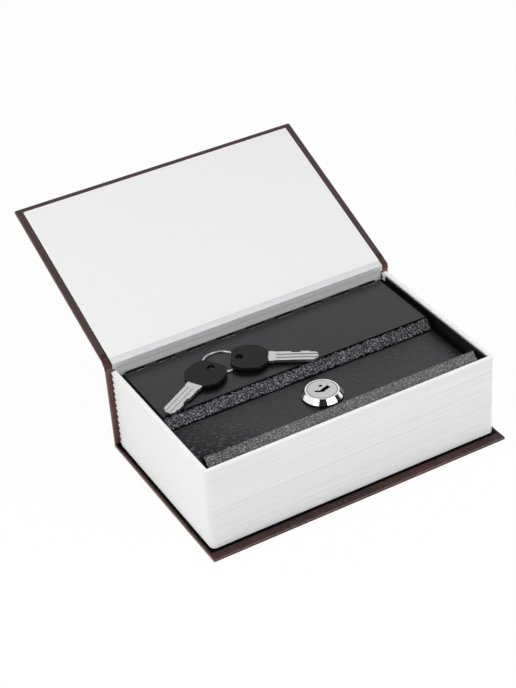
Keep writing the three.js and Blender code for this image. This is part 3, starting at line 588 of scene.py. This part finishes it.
def stacked(outlines, levels):
    """Rings of (x, y, z) points from outlines of (x, y) points, each at its level."""
    heights = np.broadcast_to(levels[:, None, None], outlines.shape[:2] + (1,))
    return np.concatenate([outlines, heights], axis=2)


def edge_steps(radius, count=5):
    """Insets r (1 - sin a) and heights r (1 - cos a) of a quarter-round edge, from its foot outwards."""
    angle = np.linspace(0, math.pi / 2, count)
    return radius * (1 - np.sin(angle)), radius * (1 - np.cos(angle))


def eased_rings(points, normals, low, high, edge):
    """Rings of an outline carried from the low to the high level, with quarter-round ends."""
    inset, height = edge_steps(edge)
    insets = np.concatenate([inset, inset[::-1]])
    levels = np.concatenate([low + height, high - height[::-1]])
    return stacked(points[None] - normals[None] * insets[:, None, None], levels)


def edge_highlight_rings():
    """How strongly each of the eased rings takes the leatherette's painted edge highlight: fully at the middle
    of the two quarter-rounds.
    """
    quarter = np.array([0, 0.35, 1, 0.35, 0])
    return np.concatenate([quarter, quarter])[:, None]


def slab(low, high, edge, corner):
    """Rings of a slab between two corners, with quarter-round edges and rounded plan corners."""
    corners = [(low[0], low[1]), (high[0], low[1]), (high[0], high[1]), (low[0], high[1])]
    return eased_rings(*rounded_outline(corners, corner), low[2], high[2], edge)


def carried_along_x(points, normals, low, high, edge):
    """Rings of a (y, z) outline carried from low to high along X, with quarter-round ends."""
    return eased_rings(points, normals, low, high, edge)[..., [2, 0, 1]]


def turned(profile, centre, segments):
    """Rings of a (radius, z) profile turned about the upright axis through centre, one to each point."""
    radius, height = np.asarray(profile, float).T
    angle = 2 * math.pi * np.arange(segments) / segments
    x = centre[0] + radius[:, None] * np.cos(angle)
    y = centre[1] + radius[:, None] * np.sin(angle)
    return np.stack([x, y, np.broadcast_to(height[:, None], x.shape)], axis=2)


def opened(points):
    """Points drawn on the shut cover, turned about the joint's hinge line to where the cover lies open."""
    y, z = points[..., 1] - HINGE[1], points[..., 2] - HINGE[2]
    cos, sin = math.cos(-OPEN_TURN), math.sin(-OPEN_TURN)
    return np.stack([points[..., 0], HINGE[1] + y * cos - z * sin, HINGE[2] + y * sin + z * cos], axis=-1)


def new_mesh(name, points, faces):
    """A mesh of points and faces, each face a list of point numbers."""
    mesh = bpy.data.meshes.new(name)
    mesh.from_pydata(points, [], faces)
    return mesh


def loft(name, rings, material, sharp=35, edge=None, capped=True):
    """A closed mesh through rings of shape (rings, points, 3): quads join each ring to the next. The end rings
    are faces if it is capped. If it isn't, the last ring is the first one again. The edge values, one to a
    point, become the attribute that the leatherette's painted edge highlight reads."""
    count, size = rings.shape[:2]
    row = np.arange(count - 1)[:, None] * size
    column = np.arange(size)[None, :]
    following = (column + 1) % size
    quads = np.stack([row + column, row + following, row + size + following, row + size + column], -1)
    caps = [list(range(size))[::-1], list(range((count - 1) * size, count * size))] if capped else []
    mesh = new_mesh(name, rings.reshape(-1, 3), quads.reshape(-1, 4).tolist() + caps)
    if edge is not None:
        values = np.broadcast_to(edge, rings.shape[:2]).astype(np.float32).ravel()
        mesh.attributes.new("edge", "FLOAT", "POINT").data.foreach_set("value", values)
    return finished(name, mesh, material, sharp)


def finished(name, mesh, material, sharp=35, weighted=True):
    """Welds and turns the faces outwards, smooths every edge under the given angle in degrees, and puts the
    object at the origin."""
    shape = bmesh.new()
    shape.from_mesh(mesh)
    bmesh.ops.remove_doubles(shape, verts=shape.verts, dist=SAME_POINT)
    bmesh.ops.recalc_face_normals(shape, faces=shape.faces)
    shape.to_mesh(mesh)
    shape.free()
    mesh.shade_smooth()
    mesh.set_sharp_from_angle(angle=math.radians(sharp))
    mesh.materials.clear()
    mesh.materials.append(material)
    piece = bpy.data.objects.new(name, mesh)
    SCENE.collection.objects.link(piece)
    if weighted:
        modifier = piece.modifiers.new("flat faces stay flat", "WEIGHTED_NORMAL")
        modifier.keep_sharp = True
    return piece


def dressed(node_name, name, material, edge, sharp=30):
    """A welded copy of a CAD node with its flat faces joined and its edges eased by a bevel. It rides on the
    node's body and replaces the node."""
    source = frame["nodes"][node_name]
    shape = bmesh.new()
    shape.from_mesh(source.data)
    bmesh.ops.remove_doubles(shape, verts=shape.verts, dist=CAD_WELD)
    flat = math.radians(FLAT_ANGLE)
    bmesh.ops.dissolve_limit(shape, angle_limit=flat, verts=shape.verts, edges=shape.edges)
    shape.verts.index_update()
    points = [tuple(vert.co) for vert in shape.verts]
    faces = [[vert.index for vert in face.verts] for face in shape.faces]
    shape.free()
    piece = finished(name, new_mesh(name, points, faces), material, sharp, weighted=False)
    bevel = piece.modifiers.new("eased edges", "BEVEL")
    bevel.width = edge
    bevel.segments = 2
    bevel.limit_method = "ANGLE"
    bevel.angle_limit = math.radians(sharp)
    bevel.harden_normals = True
    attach(piece, source["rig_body"])
    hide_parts(node_name)
    return piece


def placed(piece, body, slot, *nodes):
    """The piece rides on its body and stands for its CAD nodes, which it hides. The slot is not used."""
    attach(piece, body)
    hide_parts(*nodes)


# Block of pages


def zigzag(phase):
    """A triangle wave: 1 at every whole number and 0 halfway between."""
    return np.abs(2 * (phase - np.floor(phase)) - 1)


def page_line_depths(height, place, share):
    """Depth of the outer face: triangle ridges of even pitch, less thin raised lines, each a bell curve in
    height that wavers and swells along the block. Both fade out below the smooth rim and, by their share, are
    weaker on the end walls."""
    foot = BLOCK_LOW[2] + FOOT_HEIGHT
    pitch = (BLOCK_HIGH[2] - foot) / RIDGE_COUNT
    depth = share * RIDGE_DEPTH * zigzag((height - foot) / pitch + RIDGE_WAVER * np.sin(place * RIDGE_WAVE))
    draw = np.random.default_rng(LINE_SEED)
    levels = np.sort(draw.uniform(foot, BLOCK_HIGH[2] - PLAIN_RIM, LINE_COUNT))
    sizes = draw.uniform(*LINE_SIZES, LINE_COUNT)
    turns = draw.uniform(*LINE_TURNS, LINE_COUNT)
    for level, size, turn in zip(levels, sizes, turns):
        middle = level + LINE_WAVER * np.sin(place * LINE_WAVE + turn)
        swell = 1 - SWELL + SWELL * np.sin(place * SWELL_WAVE + 5 * turn)
        depth = depth - share * LINE_HEIGHT * size * swell * np.exp(-(((height - middle) / LINE_WIDTH) ** 2))
    fade = np.clip((BLOCK_HIGH[2] - height) / PLAIN_RIM - RIM_FADE, 0, 1)
    return fade * (depth + LINE_HEIGHT)


def tooth_depths(height):
    """How far the walls' rear ends stand back at each height: triangle teeth, each with faint nicks."""
    foot = BLOCK_LOW[2] + FOOT_HEIGHT
    phase = (height - foot) / (BLOCK_HIGH[2] - foot) * RIDGE_COUNT
    return TOOTH_DEPTH * (TOOTH_SHARE * zigzag(phase) + NICK_SHARE * zigzag(NICKS * phase))


def page_block():
    """Three walls as one U-shaped outline carried upwards: each outer point is pushed in by the page lines'
    depth or, at the foot, by its step, and the walls' rear ends by the teeth. The floor is a slab between the
    walls."""
    left, right = BLOCK_LOW[0], BLOCK_HIGH[0]
    front, rear = BLOCK_LOW[1], BLOCK_HIGH[1]
    wall = PAGE_WALL
    corners = [
        (left, rear),
        (left, front),
        (right, front),
        (right, rear),
        (right - wall, rear),
        (right - wall, front + wall),
        (left + wall, front + wall),
        (left + wall, rear),
    ]
    radii = [WALL_CORNER, PAGE_CORNER, PAGE_CORNER] + 5 * [WALL_CORNER]
    points, normals = refined(*rounded_outline(corners, radii, steps=8), OUTLINE_SPACING)
    within = 0.6 * wall
    inner = (np.abs(points[:, 0]) < right - within) & (points[:, 1] > front + within)
    at_rear = points[:, 1] > rear - WALL_CORNER - REAR_TOLERANCE
    sideways = np.column_stack([np.sign(points[:, 0]), np.zeros(len(points))])
    push = np.where(at_rear[:, None], sideways, normals) * ~inner[:, None]
    foot = BLOCK_LOW[2] + FOOT_HEIGHT
    inset, drop = edge_steps(RIM_EDGE, count=4)
    levels = np.arange(foot + LEVEL_STEP / 2, BLOCK_HIGH[2] - RIM_EDGE, LEVEL_STEP)
    heights = np.concatenate([[BLOCK_LOW[2], foot], levels, BLOCK_HIGH[2] - drop[::-1]])
    rounding = np.concatenate([np.zeros(len(levels) + 2), inset[::-1]])
    share = SIDE_LINES + (1 - SIDE_LINES) * np.abs(normals[:, 1])
    depth = page_line_depths(heights[:, None], points.sum(axis=1)[None, :], share[None, :])
    depth[:2] = FOOT_STEP
    plan = points[None] - push[None] * depth[..., None] - normals[None] * rounding[:, None, None]
    plan[:, :, 1] -= tooth_depths(heights)[:, None] * at_rear[None, :]
    walls = loft("page_walls", stacked(plan, heights), PAGES, sharp=50)
    placed(walls, "case", "page_plastic", "page_block")
    low = (left + wall, front + wall, BLOCK_LOW[2])
    high = (right - wall, rear - TOOTH_DEPTH, BLOCK_LOW[2] + PAGE_FLOOR)
    floor = loft("page_floor", slab(low, high, edge=0.2 * MM, corner=0.4 * MM), PAGES)
    placed(floor, "case", "page_plastic", "page_block")


# Hardback case


def case_boards():
    """The covered back and spine boards as one L-shaped outline carried along the book."""
    spine_face = CASE_HIGH[1] - CASE_BOARD
    corners = [
        (CASE_LOW[1], 0),
        (CASE_HIGH[1], 0),
        (CASE_HIGH[1], CASE_HIGH[2]),
        (spine_face, CASE_HIGH[2]),
        (spine_face, CASE_BOARD),
        (CASE_LOW[1], CASE_BOARD),
    ]
    radii = np.array([0.65, 0.7, 0.05, 0.05, 0.3, 0.65]) * MM
    points, normals = refined(*rounded_outline(corners, radii), OUTLINE_SPACING)
    rings = carried_along_x(points, normals, CASE_LOW[0], CASE_HIGH[0], BOARD_EDGE)
    outer_corners = np.array(corners[:2] + corners[-1:])
    reach = np.linalg.norm(points[:, None] - outer_corners[None], axis=2).min(axis=1) / BOARD_EDGE
    edge_highlight = np.maximum(edge_highlight_rings(), np.exp(-((reach - HIGHLIGHT_MIDDLE) ** 2) * HIGHLIGHT_NARROWNESS)[None, :])
    boards = loft("case_boards", rings, LEATHERETTE, edge=edge_highlight)
    placed(boards, "case", "leatherette", "case_cloth", "back_board", "spine_board")


def front_cover():
    """The covered front board and its endpaper, drawn shut and opened about the hinge line."""
    inner = HINGE[2] + CLOTH / 2 - BOARD
    rear = HINGE[1] - JOINT_START
    low = (CASE_LOW[0], CASE_LOW[1], inner + PAPER + GLUE)
    high = (CASE_HIGH[0], rear, HINGE[2] + CLOTH / 2)
    board = slab(low, high, BOARD_EDGE, BOARD_CORNER)
    edge_highlight = edge_highlight_rings() * (board[..., 1] < rear - 2 * BOARD_EDGE)
    cover = loft("cover_board", opened(board), LEATHERETTE, edge=edge_highlight)
    placed(cover, "cover", "leatherette", "front_cloth", "front_board")
    low = (CASE_LOW[0] + END_MARGIN, CASE_LOW[1] + FORE_MARGIN, inner)
    high = (CASE_HIGH[0] - END_MARGIN, rear, inner + PAPER + GLUE / 2)
    sheet = slab(low, high, edge=0.08 * MM, corner=0.6 * MM)
    paper = loft("cover_endpaper", opened(sheet), ENDPAPER)
    placed(paper, "cover", "white_paper", "front_endpaper")


def on_open_cover(along, out):
    """A (y, z) place at a distance along the open cover from the hinge line and out of its inner face."""
    rise = math.pi - OPEN_TURN
    return (
        HINGE[1] + along * math.cos(rise) - out * math.sin(rise),
        HINGE[2] + along * math.sin(rise) + out * math.cos(rise),
    )


def above_spine(y, out):
    """The (y, z) place where an upright at y meets the plane that lies out of the open cover's hinge line."""
    rise = math.pi - OPEN_TURN
    return on_open_cover((y - HINGE[1] + out * math.sin(rise)) / math.cos(rise), out)


def joint_strip(name, corners, radii, half, edge, material, slot, cad):
    """A (y, z) outline across the joint, its radii in millimetres, carried along the book from the case to the
    open cover. The slot is not used."""
    points, normals = refined(*rounded_outline(corners, np.array(radii) * MM), JOINT_SPACING)
    piece = loft(name, carried_along_x(points, normals, -half, half, edge), material, sharp=25)
    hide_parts(cad)
    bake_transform(piece)


def cover_joint():
    """The leatherette outside the joint and the paper sunk in the crease inside it, from spine to cover."""
    outer, inner = CASE_HIGH[1], CASE_HIGH[1] - CASE_BOARD
    skin = -CLOTH / 2
    sunk = CASE_BOARD + skin - CREASE_DEPTH - LINING_GAP
    leather = [
        (inner, CASE_HIGH[2]),
        (outer, CASE_HIGH[2]),
        above_spine(outer, skin),
        on_open_cover(JOINT_START, skin),
        on_open_cover(JOINT_START, sunk),
        above_spine(inner, sunk),
    ]
    radii = (0.02, 0.02, 0.8, 0.02, 0.02, 0.2)
    finish = (LEATHERETTE, "leatherette")
    joint_strip("joint_leatherette", leather, radii, CASE_HIGH[0], BOARD_EDGE, *finish, "joint_cloth")

    back, face = LINING_HIGH[1], LINING_LOW[1]
    flush = BOARD + skin
    ramp = JOINT_START - RAMP_LENGTH
    low, high = flush - CREASE_DEPTH - PAPER, flush - CREASE_DEPTH
    paper = [
        (face, LINING_HIGH[2]),
        (back, LINING_HIGH[2]),
        above_spine(back, low),
        on_open_cover(ramp, low),
        on_open_cover(JOINT_START, flush - PAPER),
        on_open_cover(JOINT_START, flush),
        on_open_cover(ramp - 0.1 * MM, high),
        above_spine(face, high),
    ]
    radii = (0.02, 0.02, 0.2, 0.1, 0.02, 0.02, 0.1, 0.35)
    half = CASE_HIGH[0] - END_MARGIN
    finish = (LINING, "white_paper")
    joint_strip("joint_lining_paper", paper, radii, half, 0.05 * MM, *finish, "joint_lining")


def spine_lining():
    """The paper on the inside of the spine, behind the hinge."""
    rings = slab(LINING_LOW, LINING_HIGH, edge=0.06 * MM, corner=0.3 * MM)
    placed(loft("spine_lining_paper", rings, LINING), "case", "white_paper", "spine_lining")


# Lid, lock and keys


def lock_bezel():
    """The housing's section turned about the lock's axis: a cone over a narrower foot, rolled edges, barrel,
    and a bore with the wide channel that the wafers slide into."""
    centre = LOCK_AXIS[:2]
    foot, top = LOCK_AXIS[2], PLUG_TOP + CROWN_RISE
    outer = LOCK_HIGH[0] - centre[0]
    bottom = LOCK_LOW[2]
    skirt = top - CONE_HEIGHT
    profile = [
        (BORE_RADIUS, bottom),
        (BARREL_RADIUS, bottom),
        (BARREL_RADIUS, foot),
        (outer - CONE_OVERHANG, foot),
        (outer - 0.12 * MM, skirt - 0.12 * MM),
        (outer, skirt - 0.02 * MM),
        (outer - 0.03 * MM, skirt + 0.1 * MM),
        (CROWN_RADIUS + 0.1 * MM, top - 0.22 * MM),
        (CROWN_RADIUS + 0.03 * MM, top - 0.09 * MM),
        (CROWN_RADIUS - 0.08 * MM, top - 0.02 * MM),
        (CROWN_RADIUS - 0.16 * MM, top),
        (BORE_RADIUS + 0.07 * MM, top),
        (BORE_RADIUS + 0.02 * MM, top - 0.03 * MM),
        (BORE_RADIUS, top - 0.3 * MM),
        (BORE_RADIUS, WAFERS_HIGH + CHANNEL_GAP),
        (CHANNEL_RADIUS, WAFERS_HIGH + CHANNEL_GAP),
        (CHANNEL_RADIUS, WAFERS_LOW - CHANNEL_GAP),
        (BORE_RADIUS, WAFERS_LOW - CHANNEL_GAP),
        (BORE_RADIUS, bottom),
    ]
    rings = turned(profile, centre, segments=128)
    housing = loft("lock_bezel", rings, CHROME, sharp=28, capped=False)
    placed(housing, "lid", "chrome_plate", "lock_housing")


def split_ring():
    """Flat wire wound in nearly two turns of one radius. It climbs by half its thickness in each turn, and
    both its ends are closed by a face."""
    centre = (RING_LOW + RING_HIGH) / 2
    wire = (RING_HIGH[2] - RING_LOW[2]) / 2
    radius = (RING_HIGH[0] - RING_LOW[0]) / 2 - wire
    turn = np.linspace(0, 4 * math.pi - WIRE_GAP, RING_STEPS)[:, None]
    around = np.linspace(0, 2 * math.pi, WIRE_SIDES, endpoint=False)
    level = RING_LOW[2] + wire * (0.5 + turn / (2 * math.pi) * WIRE_CLIMB)
    across = radius + wire * WIRE_ACROSS * np.cos(around)
    up = level + wire * WIRE_UP * np.sin(around)
    rings = np.stack([centre[0] + across * np.cos(turn), centre[1] + across * np.sin(turn), up], axis=2)
    placed(loft("key_ring_wire", rings, NICKEL, sharp=60), "keys", "nickel_plate", "split_ring")


FOURFOLD_NODES = {"tray_rivet": ZINC, "wafer": BRASS, "wafer_spring": ZINC}
PLAIN_NODES = {
    "back_endpaper": ENDPAPER,
    "hinge_pin": ZINC,
    "cam": ZINC,
    "cam_screw": ZINC,
    "lock_washer": ZINC,
    "lock_nut": ZINC,
    **{f"{part}_{i}": finish for part, finish in FOURFOLD_NODES.items() for i in range(1, 5)},
}

for node_name, material in PLAIN_NODES.items():
    data = frame["nodes"][node_name].data
    data.materials.clear()
    data.materials.append(material)

page_block()
case_boards()
front_cover()
cover_joint()
spine_lining()
lock_bezel()
split_ring()
dressed("lid_plate", "steel_lid", LID_PAINT, 0.12 * MM)
dressed("steel_tray", "folded_tray", TRAY_PAINT, 0.12 * MM)
dressed("strike_angle", "strike_bracket", TRAY_PAINT, 0.12 * MM)
dressed("lock_plug", "key_plug", PLUG_FACE, 0.16 * MM)
for i in (1, 2):
    dressed(f"key_{i}_head", f"key_head_{i}", KEY_PLASTIC, 0.35 * MM)
    dressed(f"key_{i}_blade", f"key_blade_{i}", NICKEL, 0.1 * MM)


# Stage, light and camera


def stage():
    """A wide pale floor that reads white to the camera and keeps the object's soft shadow."""
    corners = [(HALF_FLOOR * x, HALF_FLOOR * y, 0) for x, y in ((-1, -1), (1, -1), (1, 1), (-1, 1))]
    mesh = new_mesh("floor", corners, [(0, 1, 2, 3)])
    floor = bpy.data.objects.new("floor", mesh)
    SCENE.collection.objects.link(floor)
    material, shader = surface("matt_white_floor", Base_Color=linear("#f2f2f2"), Roughness=0.9)
    glow = node(material, "ShaderNodeEmission", {"Color": (1, 1, 1, 1), "Strength": 1.0}).outputs[0]
    path = node(material, "ShaderNodeLightPath").outputs
    seen = maths(material, "MAXIMUM", path["Is Camera Ray"], path["Is Glossy Ray"])
    share = maths(material, "MULTIPLY", seen, FLOOR_GLOW)
    mixed = node(material, "ShaderNodeMixShader", {0: share, 1: shader.outputs[0], 2: glow}).outputs[0]
    connect(material, mixed, material.node_tree.nodes["Material Output"], "Surface")
    mesh.materials.append(material)
    floor.location = (0, 0, -FLOOR_GAP)


def world():
    """A white surround to the camera. As light it is a studio, bright behind the object and dim in front and
    overhead."""
    made = bpy.data.worlds.new("studio")
    SCENE.world = made
    made.use_nodes = True
    backdrop = made.node_tree.nodes["Background"]
    backdrop.inputs["Color"].default_value = (1, 1, 1, 1)
    _, y, z = split(made, coordinate(made, "Generated"))
    behind = ranged(made, y, (-0.34, -0.1), (0.03, 1.0), smooth=True)
    overhead = ranged(made, z, (0.6, 0.9), (1.0, 0.3), smooth=True)
    studio = maths(made, "MULTIPLY", behind, overhead)
    seen = node(made, "ShaderNodeLightPath").outputs["Is Camera Ray"]
    strength = node(made, "ShaderNodeMix", {"Factor": seen, 2: studio, 3: 1.0}).outputs[0]
    connect(made, strength, backdrop, "Strength")


def softbox(name, place, size, power):
    """A rectangular area lamp at a place, facing the object."""
    lamp = bpy.data.lights.new(name, "AREA")
    lamp.shape = "RECTANGLE"
    lamp.size, lamp.size_y = size
    lamp.energy = power
    piece = bpy.data.objects.new(name, lamp)
    SCENE.collection.objects.link(piece)
    piece.location = place
    piece.rotation_euler = (Vector(LAMP_AIM) - Vector(place)).to_track_quat("-Z", "Y").to_euler()


def camera():
    """The photograph's camera: its axes are the fitted right, down and forward directions."""
    data = bpy.data.cameras.new("photo_camera")
    data.sensor_width = SENSOR
    longest = max(PHOTO_SIZE)
    data.lens = FOCAL_PIXELS / longest * SENSOR
    data.shift_x = (PHOTO_SIZE[0] / 2 - CENTRE_PIXEL[0]) / longest
    data.shift_y = (CENTRE_PIXEL[1] - PHOTO_SIZE[1] / 2) / longest
    data.clip_start = 0.01
    piece = bpy.data.objects.new("photo_camera", data)
    SCENE.collection.objects.link(piece)
    right, down, forward = (np.array(v) for v in (CAMERA_RIGHT, CAMERA_DOWN, CAMERA_FORWARD))
    axes = Matrix(np.column_stack([right, -down, -forward]).tolist()).to_4x4()
    piece.matrix_world = Matrix.Translation(CAMERA_PLACE) @ axes
    SCENE.camera = piece


stage()
world()
softbox("left_softbox", (-0.84, -0.39, 0.72), (0.42, 0.67), 3.5)
softbox("right_softbox", (0.39, -0.81, 0.75), (0.94, 0.67), 7.1)
softbox("top_softbox", (-0.5, 0.1, 1.0), (0.6, 0.6), 2.5)
camera()
SCENE.view_settings.view_transform = "Standard"
